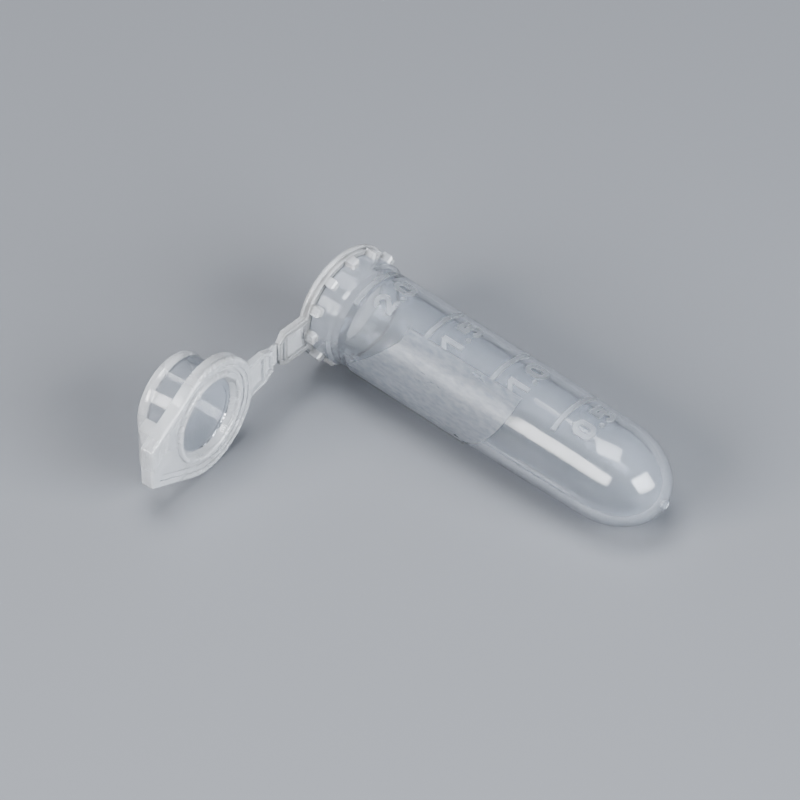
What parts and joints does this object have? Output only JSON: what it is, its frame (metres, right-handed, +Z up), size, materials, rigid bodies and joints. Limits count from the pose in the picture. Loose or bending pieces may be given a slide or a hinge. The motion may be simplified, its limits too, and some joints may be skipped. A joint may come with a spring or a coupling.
{
  "type": "microcentrifuge tube",
  "caption": "Round-bottom microcentrifuge tube lying on its side, with its hinged snap cap open on a moulded strap.",
  "frame": {"origin": "centre of the tube's mouth, in the plane of the flange's face", "axes": "+X out of the mouth along the tube's axis, +Y across the mouth towards the hinge and the open cap, +Z up"},
  "size_m": [0.0463, 0.0365, 0.013],
  "materials": {
    "clear_pp": "clear natural polypropylene, slightly blue, where the wall is thin",
    "milky_pp": "natural polypropylene, milkier where it is thick",
    "frosted_pp": "fine frosted grain for writing on",
    "raised_mark": "raised frosted mark"
  },
  "bodies": {
    "tube": {"barrel": "clear_pp", "gate_nub": "clear_pp", "mouth_flange": "milky_pp", "collar_ring": "milky_pp", "collar_teeth": "milky_pp", "writing_panel": "frosted_pp", "graduation_line_2_0": "raised_mark", "graduation_line_1_5": "raised_mark", "graduation_line_1_0": "raised_mark", "graduation_line_0_5": "raised_mark", "numerals_2_0": "raised_mark", "numerals_1_5": "raised_mark", "numerals_1_0": "raised_mark", "numerals_0_5": "raised_mark", "tube_hinge_arm": "milky_pp", "tube_arm_border": "milky_pp", "hinge_film_tube_half": "milky_pp"},
    "cap": {"hinge_film_cap_half": "milky_pp", "cap_hinge_arm": "milky_pp", "cap_arm_border": "milky_pp", "cap_plate": "milky_pp", "thumb_tab": "milky_pp", "cap_rim": "milky_pp", "dish_lip": "milky_pp", "cap_membrane": "clear_pp", "plug_skirt": "clear_pp", "seal_bead": "milky_pp", "tab_lug": "milky_pp"}
  },
  "joints": [
    {"name": "cap_hinge", "type": "hinge", "parent": "tube", "child": "cap", "pos_m": [0, 0.01046, 0], "axis": [0, 0, -1], "range_deg": [0, 185.6]}
  ]
}
